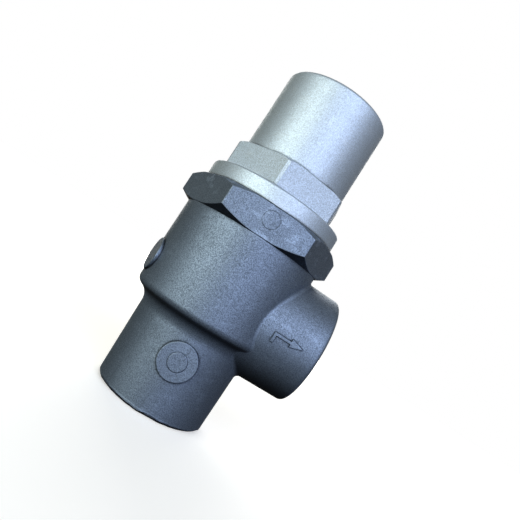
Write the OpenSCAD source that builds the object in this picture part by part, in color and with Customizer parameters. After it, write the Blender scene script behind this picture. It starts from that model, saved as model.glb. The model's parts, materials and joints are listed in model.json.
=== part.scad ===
// Minimum pressure valve for one-inch pipe threads, in millimetres.
// The valve axis is +Z with the inlet face at z = 0, and the outlet points along +X.

/* [Body casting] */
// Diameter of the inlet neck at its foot
neck_d = 46; // [44:0.5:48]
// Diameter of the round barrel above the shoulder
barrel_d = 59.6; // [58:0.2:64]
// Height of the machined top face of the casting
casting_h = 74.3; // [73:0.1:80]
// Height at which the barrel starts to turn in towards the neck
shoulder_z = 40.1; // [39:0.1:42]
// Radius of the rounded lower edge of the barrel
shoulder_r = 3.2; // [2:0.1:5]
// Radius of the hollow between shoulder and neck
hollow_r = 6.5; // [4:0.1:8]
// Draft angle of the cast neck and outlet in degrees
draft = 1.4; // [0.5:0.1:2]
// Radius on the rim of the inlet and of the outlet
rim_r = 1.7; // [0.5:0.1:2.5]

/* [Outlet] */
// Diameter of the outlet branch at its end face
outlet_d = 45.5; // [44:0.5:47]
// Height of the casting's top face above the outlet branch
branch_shelf = 1.3; // [0.5:0.1:4]
// Distance from the valve axis to the outlet face
outlet_reach = 43.9; // [42:0.1:52]
// Diameter of the passage from the chamber to the outlet thread
outlet_passage_d = 27; // [22:0.5:29]

/* [Ports] */
// Major diameter of the parallel pipe thread, inlet and outlet
port_d = 33.25; // [30:0.05:34]
// Depth of the inlet thread
inlet_depth = 19; // [14:0.5:21]
// Depth of the outlet thread
outlet_depth = 15.5; // [12:0.5:16]
// Width of the chamfer at the mouth of both threads
mouth_chamfer = 0.8; // [0.4:0.1:1.6]

/* [Cast bosses] */
// Diameter of the blind port boss on the neck
neck_boss_d = 14.9; // [12:0.1:17]
// Height of the centre of the neck boss
neck_boss_z = 22.1; // [18:0.1:23]
// Direction of the neck boss around the axis in degrees
neck_boss_turn = 271.9; // [250:0.1:290]
// Diameter of the raised centre of the neck boss
neck_pip_d = 7.3; // [5:0.1:9]
// Diameter of the blind port boss on the barrel
barrel_boss_d = 13.8; // [11:0.1:16]
// Height of the centre of the barrel boss
barrel_boss_z = 49.4; // [48:0.1:60]
// Direction of the barrel boss around the axis in degrees
barrel_boss_turn = 197; // [180:0.5:230]
// Height of both bosses above the wall at their centre
boss_rise = 0.7; // [0.3:0.1:1.5]

/* [Chamber and seat] */
// Diameter of the chamber above the seat
chamber_d = 47.6; // [46:0.1:49]
// Diameter of the seat opening
seat_d = 28; // [24:0.2:28.6]
// Height of the seat lip above the inlet face
seat_z = 40; // [39:0.1:41]
// Height of the lip above the chamber floor
lip_h = 4; // [2.5:0.1:4.5]
// Width of the flat on top of the seat lip
lip_w = 1; // [0.6:0.1:1.5]
// How far the lip spreads outwards to its foot
lip_spread = 1; // [0.5:0.1:2]
// Wall between the chamber floor and the hollow outside
floor_wall = 3.5; // [3:0.1:5]

/* [Hexagon ring] */
// Width across flats of the hexagon ring
ring_flats = 59.8; // [57:0.1:62]
// Height of the hexagon of the ring
ring_h = 12.2; // [10:0.1:14]
// Turn of the ring's corners from +X in degrees
ring_turn = 1.85; // [0:0.05:59]
// Diameter of the thread that holds the ring in the casting
ring_thread_d = 50; // [49:0.5:51]
// Length of that thread
ring_thread_l = 9.3; // [7:0.1:9.5]
// Length of the plain skirt below the thread
ring_skirt_l = 5; // [3:0.1:6]
// Height of the guide bore's upper end above the casting
guide_top = 4.2; // [3:0.1:5]

/* [Bonnet] */
// Diameter of the bonnet flange
flange_d = 58.7; // [57:0.1:60]
// Thickness of the bonnet flange
flange_h = 6.6; // [4:0.1:9]
// Radius on the upper edge of the flange
flange_round = 0.9; // [0.3:0.1:1.5]
// Width across flats of the bonnet hexagon
bonnet_flats = 46.2; // [45.6:0.1:48]
// Height of the bonnet hexagon
bonnet_hex_h = 11.8; // [8:0.1:14]
// Diameter that the bonnet hexagon's corners are turned to
bonnet_corner_d = 53.2; // [50:0.1:55]
// Turn of the bonnet's corners from +X in degrees
bonnet_turn = 19.6; // [0:0.1:59]
// Diameter of the spring housing
housing_d = 45.2; // [43:0.1:45.4]
// Height of the spring housing above the hexagon
housing_h = 35.2; // [32:0.1:40]
// Radius on the top edge of the spring housing
housing_round = 1.5; // [0.5:0.1:3]
// Diameter of the spring chamber
spring_chamber_d = 36.4; // [35:0.1:38]
// Thickness of the end wall that carries the adjusting screw
end_wall = 8.5; // [6:0.1:10]
// Diameter of the thread that holds the bonnet in the ring
bonnet_thread_d = 48; // [47:0.5:48.5]
// Bore of the threaded spigot of the bonnet
spigot_bore_d = 41.2; // [40.6:0.1:42]

/* [Adjuster] */
// Diameter of the adjusting screw
screw_d = 10; // [8:0.5:11]
// Length of the adjusting screw
screw_l = 24.5; // [24:0.1:27]
// Width across flats of the screw's hexagon socket
socket_flats = 5; // [4:0.1:5.2]
// Depth of the screw's hexagon socket
socket_depth = 6; // [3:0.1:8]
// Width across flats of the lock nut
nut_flats = 16; // [15:0.5:18]
// Height of the lock nut
nut_h = 5; // [4:0.1:5.4]
// Height of the screw above the lock nut
screw_stub = 2.4; // [1:0.1:3]
// Depth of the cup in the spring plate that takes the screw's tip
cup_depth = 3; // [2:0.1:4]
// Wall of that cup
cup_wall = 3; // [2:0.1:4]

/* [Main spring] */
// Mean diameter of the main spring
main_mean_d = 27; // [25.5:0.1:28]
// Wire diameter of the main spring
main_wire_d = 3.2; // [2.6:0.1:3.6]
// Turns of the main spring between its closed ends
main_turns = 5; // [4:0.5:7]
// Diameter of the upper spring plate
plate_d = 33; // [32:0.1:35]
// Thickness of the upper spring plate
plate_t = 3.5; // [2.5:0.1:4.5]
// Thickness of the lower spring seat
lower_seat_t = 1.2; // [0.8:0.1:1.6]

/* [Piston] */
// Bore in the ring that guides the piston
guide_d = 40; // [39:0.1:40.4]
// Height of the piston head
head_h = 12; // [11:0.1:13]
// Depth of the spring recess in the piston head
head_recess = 2.1; // [1.6:0.1:2.6]
// Height of the piston's lower edge above the ring's skirt
head_inset = 0.5; // [0.2:0.1:1]
// Height of the solid bands above and below the grooves of the piston
head_land = 1.2; // [0.8:0.1:1.4]
// Diameter of the piston's foot tube
foot_d = 19; // [18:0.1:20]
// Wall thickness of the stem bush
bush_t = 1.5; // [1:0.1:2]
// Cord diameter of the piston seal
piston_cord_d = 2.9; // [2.4:0.1:3.2]
// Width of the guide strip on the piston
strip_w = 3; // [2:0.1:3.2]
// Thickness of the guide strip on the piston
strip_t = 1.5; // [1:0.1:2]

/* [Check disc] */
// Diameter of the check disc
disc_d = 36; // [34:0.2:38]
// Thickness of the check disc above its seal
disc_t = 5; // [4:0.1:6]
// Height of the hub that the piston rests on, above the disc
hub_h = 4.4; // [3:0.1:6]
// Diameter of the guide stem
stem_d = 11.9; // [10:0.1:12.4]
// Thickness of the seat seal
seal_t = 2.6; // [2:0.1:3]
// Thickness of the plate that clamps the seat seal
retainer_t = 1.8; // [1.2:0.1:2.5]
// Diameter of the screw that holds the retainer
seal_screw_d = 5; // [4:0.5:6]
// Length of the screw inside the disc
seal_screw_l = 9; // [6:0.5:9.5]
// Thickness of the snap ring on the stem
circlip_t = 1; // [0.8:0.1:1.3]
// Radial width of the snap ring
circlip_w = 2.6; // [1.5:0.1:3]
// Length of the stem above the snap ring
stem_tail = 2; // [1:0.1:3]
// Mean diameter of the check spring
check_mean_d = 24.6; // [22.5:0.1:27]
// Wire diameter of the check spring
check_wire_d = 1; // [0.7:0.1:1.3]
// Turns of the check spring between its closed ends
check_turns = 3; // [2:0.5:5]

/* [Travel and clearance] */
// Lift of the check disc off its seat
disc_lift = 5; // [4:0.1:6]
// Lift of the piston off the check disc
piston_lift = 4; // [3:0.1:4.4]
// Radial clearance of the guided parts
run_gap = 0.05; // [0.03:0.01:0.08]
// Clearance between parts that only lie in one another
fit_gap = 0.03; // [0.02:0.01:0.06]

/* [Hidden] */

$fn = 96;
cast_dark = "#4d5563";
blasted_silver = "#b4bac4";
steel = "#8d9096";
zinc = "#c3c4bd";
brass = "#b89a58";
rubber = "#1c1c1e";
plastic = "#e6e2d6";
overcut = 0.5;
nut_slope = 30;

// Levels along the valve axis, from the inlet face up
ring_top = casting_h + ring_h;
flange_top = ring_top + flange_h;
hex_top = flange_top + bonnet_hex_h;
housing_top = hex_top + housing_h;
ring_thread_z = casting_h - ring_thread_l;
skirt_z = ring_thread_z - ring_skirt_l;
guide_z = casting_h + guide_top;
floor_z = seat_z - lip_h;
disc_z = seat_z + seal_t / 4;
disc_top = disc_z + disc_t;
foot_z = disc_top + hub_h;
head_z = skirt_z + head_inset;
head_top = head_z + head_h;
head_floor = head_top - head_recess;
seal_groove_w = piston_cord_d * 1.15;
main_z = head_floor + lower_seat_t;
circlip_z = head_top + piston_lift + 0.3;
stem_top = circlip_z + circlip_t + stem_tail;
screw_top = housing_top + nut_h + screw_stub;
screw_tip = screw_top - screw_l;
plate_z = screw_tip - plate_t;
main_l = plate_z - main_z;

// Radii that follow from the driving diameters
barrel_r = barrel_d / 2;
branch_root_r = outlet_d / 2 + outlet_reach * tan(draft);
outlet_z = casting_h - branch_shelf - branch_root_r;
port_r = port_d / 2;
chamber_r = chamber_d / 2;
seat_r = seat_d / 2;
lip_r = seat_r + lip_w;
lip_foot_r = lip_r + lip_spread;
seal_r = lip_r + 1.9;
seal_in_r = seat_r - 3;
retainer_r = seat_r - 0.6;
stem_r = stem_d / 2;
bush_in_r = stem_r + run_gap;
bush_r = bush_in_r + bush_t;
guide_r = guide_d / 2;
head_r = guide_r - 2 * run_gap;
ring_cord_d = 1.9;
bonnet_cord_d = 1.9;
casting_top_bore_r = ring_thread_d / 2 + ring_cord_d + fit_gap;
ring_top_bore_r = bonnet_thread_d / 2 + bonnet_cord_d + fit_gap;

// Neck and shoulder: the round edge and the hollow meet where their slopes agree
neck_foot_r = neck_d / 2;
neck_top_r = neck_foot_r + (shoulder_z - hollow_r) * tan(draft);
shoulder_turn = acos(1 - (barrel_r - neck_top_r) / (shoulder_r + hollow_r));
shoulder_centre = [barrel_r - shoulder_r, shoulder_z];
hollow_centre = [neck_top_r + hollow_r, shoulder_z - (shoulder_r + hollow_r) * sin(shoulder_turn)];

// Ring with a round section: its inner radius, its cord and the height of its middle
module cord_ring(inner_r, cord_d, z) {
    translate([0, 0, z]) rotate_extrude() translate([inner_r + cord_d / 2, 0]) circle(d = cord_d, $fn = 32);
}

// Hexagon with its corners bevelled from a circle at each end, standing on z = 0
module bevelled_hex(flats, height, low_r, high_r) {
    corner_r = flats / 2 / cos(30);
    low_bevel = max(0, corner_r - low_r) * tan(nut_slope);
    high_bevel = max(0, corner_r - high_r) * tan(nut_slope);
    intersection() {
        cylinder(r = corner_r, h = height, $fn = 6);
        rotate_extrude() polygon([[0, 0], [low_r, 0], [corner_r, low_bevel],
                                  [corner_r, height - high_bevel], [high_r, height], [0, height]]);
    }
}

// What a rounding tool takes off the edge of a turned part: radius of the part, height of its face
module edge_cutter(part_r, face_z, round_r) {
    translate([0, 0, face_z]) rotate_extrude() difference() {
        translate([part_r - round_r, -round_r]) square(round_r + overcut);
        translate([part_r - round_r, -round_r]) circle(r = round_r, $fn = 48);
    }
}

// Threaded port bored to the major diameter, from its face at z = 0 down to -depth
module port_cutter(depth) {
    translate([0, 0, -depth]) cylinder(r = port_r, h = depth + overcut);
    translate([0, 0, -mouth_chamfer])
        cylinder(r1 = port_r, r2 = port_r + mouth_chamfer + overcut, h = mouth_chamfer + overcut);
}

// Outline of the neck, the shoulder and the barrel, turned about the valve axis
module casting_outline() {
    polygon([[0, 0], [neck_foot_r, 0], [neck_top_r, hollow_centre[1]], [0, hollow_centre[1]]]);
    difference() {
        polygon([[0, hollow_centre[1]], hollow_centre, shoulder_centre, [0, shoulder_z]]);
        translate(hollow_centre) circle(r = hollow_r);
    }
    translate(shoulder_centre) circle(r = shoulder_r);
    translate([0, shoulder_z]) square([barrel_r, casting_h - shoulder_z]);
}

// Blind port boss: a flat round pad that stands proud of a wall, pointing along +X
module port_boss(wall_r, pad_d) {
    pad_round = 0.4;
    pad_root = 3;
    rotate([0, 90, 0]) difference() {
        translate([0, 0, wall_r - pad_root]) cylinder(d = pad_d, h = pad_root + boss_rise);
        edge_cutter(pad_d / 2, wall_r + boss_rise, pad_round);
    }
}

module casting_solid() {
    difference() {
        rotate_extrude() casting_outline();
        mirror([0, 0, 1]) edge_cutter(neck_foot_r, 0, rim_r);
    }
    translate([0, 0, outlet_z]) rotate([0, 90, 0]) difference() {
        cylinder(r1 = branch_root_r, r2 = outlet_d / 2, h = outlet_reach);
        edge_cutter(outlet_d / 2, outlet_reach, rim_r);
    }
    neck_wall_r = neck_foot_r + neck_boss_z * tan(draft);
    rotate([0, 0, neck_boss_turn]) translate([0, 0, neck_boss_z]) {
        port_boss(neck_wall_r, neck_boss_d);
        port_boss(neck_wall_r + boss_rise / 2, neck_pip_d);
    }
    rotate([0, 0, barrel_boss_turn]) translate([0, 0, barrel_boss_z]) port_boss(barrel_r, barrel_boss_d);
}

// Chamber around the seat lip, with a sloped floor edge that follows the shoulder outside
module chamber_cutter() {
    floor_r = neck_top_r - floor_wall;
    slope_top = floor_z + chamber_r - floor_r;
    rotate_extrude() polygon([[lip_r, seat_z], [lip_foot_r, floor_z], [floor_r, floor_z],
                              [chamber_r, slope_top], [chamber_r, casting_h + overcut],
                              [0, casting_h + overcut], [0, seat_z]]);
}

module valve_body() {
    branch_start = (lip_foot_r + chamber_r) / 2;
    color(cast_dark) difference() {
        casting_solid();
        mirror([0, 0, 1]) port_cutter(inlet_depth);
        translate([0, 0, inlet_depth - overcut]) cylinder(r = seat_r, h = seat_z - inlet_depth + 2 * overcut);
        chamber_cutter();
        translate([0, 0, ring_thread_z]) cylinder(d = ring_thread_d + 2 * fit_gap, h = ring_thread_l + overcut);
        translate([0, 0, casting_h - ring_cord_d]) cylinder(r = casting_top_bore_r, h = ring_cord_d + overcut);
        translate([0, 0, outlet_z]) rotate([0, 90, 0]) {
            translate([0, 0, outlet_reach]) port_cutter(outlet_depth);
            translate([0, 0, branch_start]) cylinder(d = outlet_passage_d, h = outlet_reach - branch_start);
        }
    }
}

module hex_ring() {
    skirt_d = chamber_d - 1;
    color(cast_dark) difference() {
        union() {
            translate([0, 0, casting_h]) rotate([0, 0, ring_turn])
                bevelled_hex(ring_flats, ring_h, ring_flats / 2, ring_flats / 2 + 0.6);
            translate([0, 0, ring_thread_z]) cylinder(d = ring_thread_d, h = ring_thread_l + overcut);
            translate([0, 0, skirt_z]) cylinder(d = skirt_d, h = ring_skirt_l + overcut);
        }
        translate([0, 0, skirt_z - overcut]) cylinder(r = guide_r, h = ring_top - skirt_z + 2 * overcut);
        translate([0, 0, guide_z]) cylinder(d = bonnet_thread_d + 2 * fit_gap, h = ring_top - guide_z + overcut);
        translate([0, 0, ring_top - bonnet_cord_d]) cylinder(r = ring_top_bore_r, h = bonnet_cord_d + overcut);
        translate([0, 0, skirt_z - overcut]) cylinder(r1 = guide_r + 1, r2 = guide_r, h = 1 + overcut);
    }
}

module ring_seal() {
    color(rubber) cord_ring(ring_thread_d / 2 + fit_gap / 2, ring_cord_d - fit_gap, casting_h - ring_cord_d / 2);
}

module bonnet() {
    spigot_z = guide_z + 0.3;
    neck_z = ring_top + 2;
    spring_r = spring_chamber_d / 2;
    ceiling_z = housing_top - end_wall;
    slope_top = neck_z + spigot_bore_d / 2 - spring_r;
    color(blasted_silver) difference() {
        union() {
            translate([0, 0, spigot_z]) cylinder(d = bonnet_thread_d, h = ring_top - spigot_z + overcut);
            translate([0, 0, ring_top]) cylinder(d = flange_d, h = flange_h);
            translate([0, 0, flange_top]) rotate([0, 0, bonnet_turn]) intersection() {
                bevelled_hex(bonnet_flats, bonnet_hex_h, bonnet_corner_d, bonnet_flats / 2 + 1.4);
                cylinder(d = bonnet_corner_d, h = bonnet_hex_h);
            }
            translate([0, 0, hex_top - overcut]) cylinder(d = housing_d, h = housing_h + overcut);
        }
        edge_cutter(flange_d / 2, flange_top, flange_round);
        edge_cutter(housing_d / 2, housing_top, housing_round);
        rotate_extrude() polygon([[0, spigot_z - overcut], [spigot_bore_d / 2, spigot_z - overcut],
                                  [spigot_bore_d / 2, neck_z], [spring_r, slope_top], [spring_r, ceiling_z],
                                  [0, ceiling_z]]);
        translate([0, 0, ceiling_z - overcut]) cylinder(d = screw_d + 2 * run_gap, h = end_wall + 2 * overcut);
    }
}

module bonnet_seal() {
    color(rubber) cord_ring(bonnet_thread_d / 2 + fit_gap / 2, bonnet_cord_d - fit_gap, ring_top - bonnet_cord_d / 2);
}

module adjusting_screw() {
    end_bevel = 1;
    color(steel) difference() {
        translate([0, 0, screw_tip]) rotate_extrude()
            polygon([[0, 0], [screw_d / 2 - end_bevel, 0], [screw_d / 2, end_bevel],
                     [screw_d / 2, screw_l - end_bevel], [screw_d / 2 - end_bevel, screw_l], [0, screw_l]]);
        translate([0, 0, screw_top - socket_depth])
            cylinder(d = socket_flats / cos(30), h = socket_depth + overcut, $fn = 6);
    }
}

module lock_nut() {
    color(zinc) translate([0, 0, housing_top]) difference() {
        bevelled_hex(nut_flats, nut_h, nut_flats / 2 + 0.3, nut_flats / 2 - 0.4);
        translate([0, 0, -overcut]) cylinder(d = screw_d + 2 * run_gap, h = nut_h + 2 * overcut);
    }
}

// Upper spring plate: a cup for the screw's tip on top and a spigot that centres the spring below
module spring_plate() {
    cup_r = screw_d / 2 + 0.3;
    spigot_r = (main_mean_d - main_wire_d) / 2 - 0.3;
    color(zinc) difference() {
        union() {
            translate([0, 0, plate_z]) cylinder(d = plate_d, h = plate_t);
            translate([0, 0, plate_z]) cylinder(r = cup_r + cup_wall, h = plate_t + cup_depth);
            translate([0, 0, plate_z - main_wire_d]) cylinder(r1 = spigot_r - 1, r2 = spigot_r, h = main_wire_d);
        }
        translate([0, 0, screw_tip]) cylinder(r = cup_r, h = cup_depth + overcut);
    }
}

// Round wire wound on a helix: each end turn is closed, and the first and last sections are capped
module wire_coil(mean_d, wire_d, length, turns) {
    steps = 16;
    sides = 8;
    end_pitch = wire_d * 1.04;
    pitch = (length - wire_d - 2 * end_pitch) / turns;
    count = round((turns + 2) * steps);
    function height(t) = wire_d / 2 + (t < 1 ? end_pitch * t
                       : t < turns + 1 ? end_pitch + pitch * (t - 1)
                       : end_pitch + pitch * turns + end_pitch * (t - turns - 1));
    points = [for (i = [0:count]) for (j = [0:sides - 1])
        let (r = mean_d / 2 + wire_d / 2 * cos(360 * j / sides), a = 360 * i / steps)
        [r * cos(a), r * sin(a), height(i / steps) + wire_d / 2 * sin(360 * j / sides)]];
    walls = [for (i = [0:count - 1]) for (j = [0:sides - 1])
        let (k = (j + 1) % sides) for (face = [
            [i * sides + j, (i + 1) * sides + j, (i + 1) * sides + k],
            [i * sides + j, (i + 1) * sides + k, i * sides + k]]) face];
    first = [for (j = [0:sides - 1]) j];
    last = [for (j = [sides - 1:-1:0]) count * sides + j];
    polyhedron(points, concat(walls, [first, last]));
}

module main_spring() {
    color(steel) translate([0, 0, main_z]) wire_coil(main_mean_d, main_wire_d, main_l, main_turns);
}

module lower_spring_seat() {
    color(zinc) translate([0, 0, head_floor]) difference() {
        cylinder(r = (main_mean_d + main_wire_d) / 2 + 0.6, h = lower_seat_t);
        translate([0, 0, -overcut])
            cylinder(r = (main_mean_d - main_wire_d) / 2 - 0.4, h = lower_seat_t + 2 * overcut);
    }
}

module piston() {
    recess_r = (main_mean_d + main_wire_d) / 2 + 0.8;
    hub_r = (main_mean_d - main_wire_d) / 2 - 0.7;
    seal_groove_z = head_floor - head_land - seal_groove_w;
    seal_groove_r = guide_r - run_gap - piston_cord_d;
    strip_z = head_z + head_land;
    color(brass) difference() {
        union() {
            translate([0, 0, head_z]) cylinder(r = head_r, h = head_h);
            translate([0, 0, foot_z]) cylinder(d = foot_d, h = head_z - foot_z + overcut);
        }
        translate([0, 0, foot_z - overcut]) cylinder(r = bush_r + fit_gap, h = head_top - foot_z + 2 * overcut);
        translate([0, 0, head_floor]) difference() {
            cylinder(r = recess_r, h = head_recess + overcut);
            translate([0, 0, -overcut]) cylinder(r = hub_r, h = head_recess + 2 * overcut);
        }
        translate([0, 0, seal_groove_z]) difference() {
            cylinder(r = guide_r + overcut, h = seal_groove_w);
            translate([0, 0, -overcut]) cylinder(r = seal_groove_r - fit_gap, h = seal_groove_w + 2 * overcut);
        }
        translate([0, 0, strip_z]) difference() {
            cylinder(r = guide_r + overcut, h = strip_w + 2 * fit_gap);
            translate([0, 0, -overcut])
                cylinder(r = guide_r - run_gap - strip_t - fit_gap, h = strip_w + 2 * fit_gap + 2 * overcut);
        }
    }
}

module piston_seal() {
    color(rubber) cord_ring(guide_r - run_gap - piston_cord_d, piston_cord_d,
                            head_floor - head_land - seal_groove_w / 2);
}

// Split guide strip in its groove near the piston's lower edge
module guide_strip() {
    split_w = 1;
    strip_r = guide_r - run_gap;
    color(plastic) translate([0, 0, head_z + head_land + fit_gap]) difference() {
        cylinder(r = strip_r, h = strip_w);
        translate([0, 0, -overcut]) cylinder(r = strip_r - strip_t, h = strip_w + 2 * overcut);
        translate([0, -split_w / 2, -overcut]) cube([strip_r + overcut, split_w, strip_w + 2 * overcut]);
    }
}

module stem_bush() {
    color(brass) translate([0, 0, foot_z + 0.2]) difference() {
        cylinder(r = bush_r, h = head_top - foot_z - 0.2);
        translate([0, 0, -overcut]) cylinder(r = bush_in_r, h = head_top - foot_z + 2 * overcut);
    }
}

// Check disc with its hub and guide stem in one turned piece
module check_disc() {
    groove_d = stem_d - 1.2;
    edge_bevel = 0.8;
    disc_r = disc_d / 2;
    color(steel) difference() {
        rotate_extrude() polygon([
            [0, seat_z], [seal_in_r - fit_gap, seat_z], [seal_in_r - fit_gap, seat_z + seal_t + fit_gap],
            [seal_r + fit_gap, seat_z + seal_t + fit_gap], [seal_r + fit_gap, disc_z], [disc_r, disc_z],
            [disc_r, disc_top - edge_bevel], [disc_r - edge_bevel, disc_top], [foot_d / 2, disc_top],
            [foot_d / 2, foot_z], [stem_r, foot_z], [stem_r, circlip_z - fit_gap],
            [groove_d / 2, circlip_z - fit_gap], [groove_d / 2, circlip_z + circlip_t + fit_gap],
            [stem_r, circlip_z + circlip_t + fit_gap], [stem_r, stem_top - edge_bevel],
            [stem_r - edge_bevel, stem_top], [0, stem_top]]);
        translate([0, 0, seat_z - overcut]) cylinder(d = seal_screw_d + 2 * fit_gap, h = seal_screw_l + 2 * overcut);
    }
}

module seat_seal() {
    color(rubber) translate([0, 0, seat_z]) difference() {
        cylinder(r = seal_r, h = seal_t);
        translate([0, 0, -overcut]) cylinder(r = seal_in_r, h = seal_t + 2 * overcut);
    }
}

module seal_retainer() {
    bevel = 0.5;
    color(steel) translate([0, 0, seat_z - retainer_t]) difference() {
        rotate_extrude() polygon([[0, 0], [retainer_r - bevel, 0], [retainer_r, bevel], [retainer_r, retainer_t],
                                  [0, retainer_t]]);
        translate([0, 0, -overcut]) cylinder(d = seal_screw_d + 2 * fit_gap, h = retainer_t + 2 * overcut);
    }
}

// Button-head screw through the retainer into the disc
module seal_screw() {
    head_d = seal_screw_d * 1.8;
    head_t = seal_screw_d * 0.55;
    head_face = seat_z - retainer_t;
    color(zinc) difference() {
        union() {
            translate([0, 0, head_face - head_t]) cylinder(d1 = head_d * 0.7, d2 = head_d, h = head_t);
            translate([0, 0, head_face - overcut]) cylinder(d = seal_screw_d, h = retainer_t + seal_screw_l + overcut);
        }
        translate([0, 0, head_face - head_t - overcut])
            cylinder(d = seal_screw_d * 0.6 / cos(30), h = head_t * 0.7 + overcut, $fn = 6);
    }
}

// Open snap ring in the groove of the stem
module stem_circlip() {
    inner_r = stem_r - 0.6 + fit_gap;
    mouth = 50;
    color(steel) translate([0, 0, circlip_z]) difference() {
        cylinder(r = inner_r + circlip_w, h = circlip_t);
        translate([0, 0, -overcut]) cylinder(r = inner_r, h = circlip_t + 2 * overcut);
        translate([0, 0, -overcut]) linear_extrude(circlip_t + 2 * overcut)
            polygon([[0, 0], [2 * stem_d, -2 * stem_d * tan(mouth)], [2 * stem_d, 2 * stem_d * tan(mouth)]]);
    }
}

module check_spring() {
    color(steel) translate([0, 0, disc_top])
        wire_coil(check_mean_d, check_wire_d, head_z - disc_top, check_turns);
}

valve_body();
hex_ring();
ring_seal();
bonnet();
bonnet_seal();
adjusting_screw();
lock_nut();
spring_plate();
main_spring();
lower_spring_seat();
piston();
piston_seal();
guide_strip();
stem_bush();
check_disc();
seat_seal();
seal_retainer();
seal_screw();
stem_circlip();
check_spring();
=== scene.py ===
"""Looks of a minimum pressure valve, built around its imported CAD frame.

The valve axis is +Z with the inlet face at z = 0, and the outlet points along +X. Sizes are written in
millimetres and multiplied by MM. Each sub-assembly is a class: its fields are its sizes, and its methods
work out its surfaces as numpy grids and dress them.
"""
import json
import logging
import math
from dataclasses import dataclass
from enum import Enum

import bmesh
import bpy
import numpy as np
from mathutils import Matrix, Vector


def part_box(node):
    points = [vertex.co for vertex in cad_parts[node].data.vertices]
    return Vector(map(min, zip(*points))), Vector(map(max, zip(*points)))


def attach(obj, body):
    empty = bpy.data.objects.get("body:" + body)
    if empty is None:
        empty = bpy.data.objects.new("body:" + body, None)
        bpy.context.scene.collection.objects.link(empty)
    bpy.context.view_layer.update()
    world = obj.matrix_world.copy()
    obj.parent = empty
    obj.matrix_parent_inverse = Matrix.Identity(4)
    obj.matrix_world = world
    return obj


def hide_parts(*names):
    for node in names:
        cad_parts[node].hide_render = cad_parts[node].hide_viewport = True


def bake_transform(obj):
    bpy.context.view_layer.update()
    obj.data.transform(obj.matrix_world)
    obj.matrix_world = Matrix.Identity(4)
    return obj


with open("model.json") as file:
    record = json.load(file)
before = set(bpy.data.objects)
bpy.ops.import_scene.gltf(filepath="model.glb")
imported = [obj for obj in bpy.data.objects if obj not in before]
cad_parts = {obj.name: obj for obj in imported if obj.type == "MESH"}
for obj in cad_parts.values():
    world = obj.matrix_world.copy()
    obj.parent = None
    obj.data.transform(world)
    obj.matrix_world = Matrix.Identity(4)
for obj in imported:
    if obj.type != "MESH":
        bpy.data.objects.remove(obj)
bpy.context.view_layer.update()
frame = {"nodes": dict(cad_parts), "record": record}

MM = 0.001
TAU = 2 * math.pi
SIXTH = math.pi / 3
WHITE = (1.0, 1.0, 1.0, 1.0)
PIPE_THREAD_DEPTH = 0.6403      # depth of a 55 degree thread over its pitch
METRIC_THREAD_DEPTH = 0.6134    # depth of a 60 degree thread over its pitch
log = logging.getLogger("valve")


class Slot(Enum):
    """The record's material slots."""

    CAST = "cast_dark"
    BLASTED = "blasted_silver"
    RUBBER = "rubber"
    STEEL = "steel"
    SPRING = "spring_steel"
    ZINC = "zinc_plate"
    BRASS = "brass"
    BRONZE = "bronze"
    PLASTIC = "guide_plastic"


class Signal:
    """An output socket of a shader node; arithmetic on it adds Math nodes."""

    def __init__(self, wiring: "Wiring", socket: bpy.types.NodeSocket) -> None:
        """Keeps the socket and the node tree that it belongs to."""
        self.wiring = wiring
        self.socket = socket

    def _math(self, operation: str, first: "Signal | float", second: "Signal | float") -> "Signal":
        """Adds one Math node and returns its output."""
        return self.wiring.node("ShaderNodeMath", {"operation": operation}, {0: first, 1: second})

    def __add__(self, other: "Signal | float") -> "Signal":
        """Sum."""
        return self._math("ADD", self, other)

    def __radd__(self, other: float) -> "Signal":
        """Sum, with the number first."""
        return self._math("ADD", other, self)

    def __sub__(self, other: "Signal | float") -> "Signal":
        """Difference."""
        return self._math("SUBTRACT", self, other)

    def __rsub__(self, other: float) -> "Signal":
        """Difference, with the number first."""
        return self._math("SUBTRACT", other, self)

    def __mul__(self, other: "Signal | float") -> "Signal":
        """Product."""
        return self._math("MULTIPLY", self, other)

    def __rmul__(self, other: float) -> "Signal":
        """Product, with the number first."""
        return self._math("MULTIPLY", other, self)

    def __pow__(self, other: float) -> "Signal":
        """Power."""
        return self._math("POWER", self, other)

    def larger(self, other: "Signal | float") -> "Signal":
        """The larger of two values."""
        return self._math("MAXIMUM", self, other)


class Wiring:
    """A node tree in the making, of a material or of the world."""

    def __init__(self, tree: bpy.types.NodeTree) -> None:
        """Keeps the node tree."""
        self.tree = tree

    def feed(self, socket: bpy.types.NodeSocket, value: "Signal | float | tuple") -> None:
        """Links a signal to a socket, or sets the socket's value.

        Args:
            socket: The input socket.
            value: A signal, a number or a tuple of numbers.
        """
        if isinstance(value, Signal):
            self.tree.links.new(value.socket, socket)
        else:
            socket.default_value = value

    def node(self, kind: str, settings: dict, inputs: dict, output: "int | str" = 0) -> Signal:
        """Adds a node of any type.

        Args:
            kind: The node's type.
            settings: Its properties, set before its sockets.
            inputs: Values or signals by socket name or index.
            output: Which output the result reads.

        Returns:
            The chosen output.
        """
        node = self.tree.nodes.new(kind)
        for key, value in settings.items():
            setattr(node, key, value)
        for key, value in inputs.items():
            self.feed(node.inputs[key], value)
        return Signal(self, node.outputs[output])

    def ramp(self, value: Signal, low: float, high: float) -> Signal:
        """Maps low..high to 0..1 smoothly, with the ends held."""
        return self.node("ShaderNodeMapRange", {"interpolation_type": "SMOOTHSTEP"},
                         {"Value": value, "From Min": low, "From Max": high})

    def mix(self, factor: "Signal | float", first: "Signal | tuple", second: "Signal | tuple") -> Signal:
        """Mixes two colours."""
        return self.node("ShaderNodeMix", {"data_type": "RGBA"}, {0: factor, 6: first, 7: second}, 2)


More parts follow.
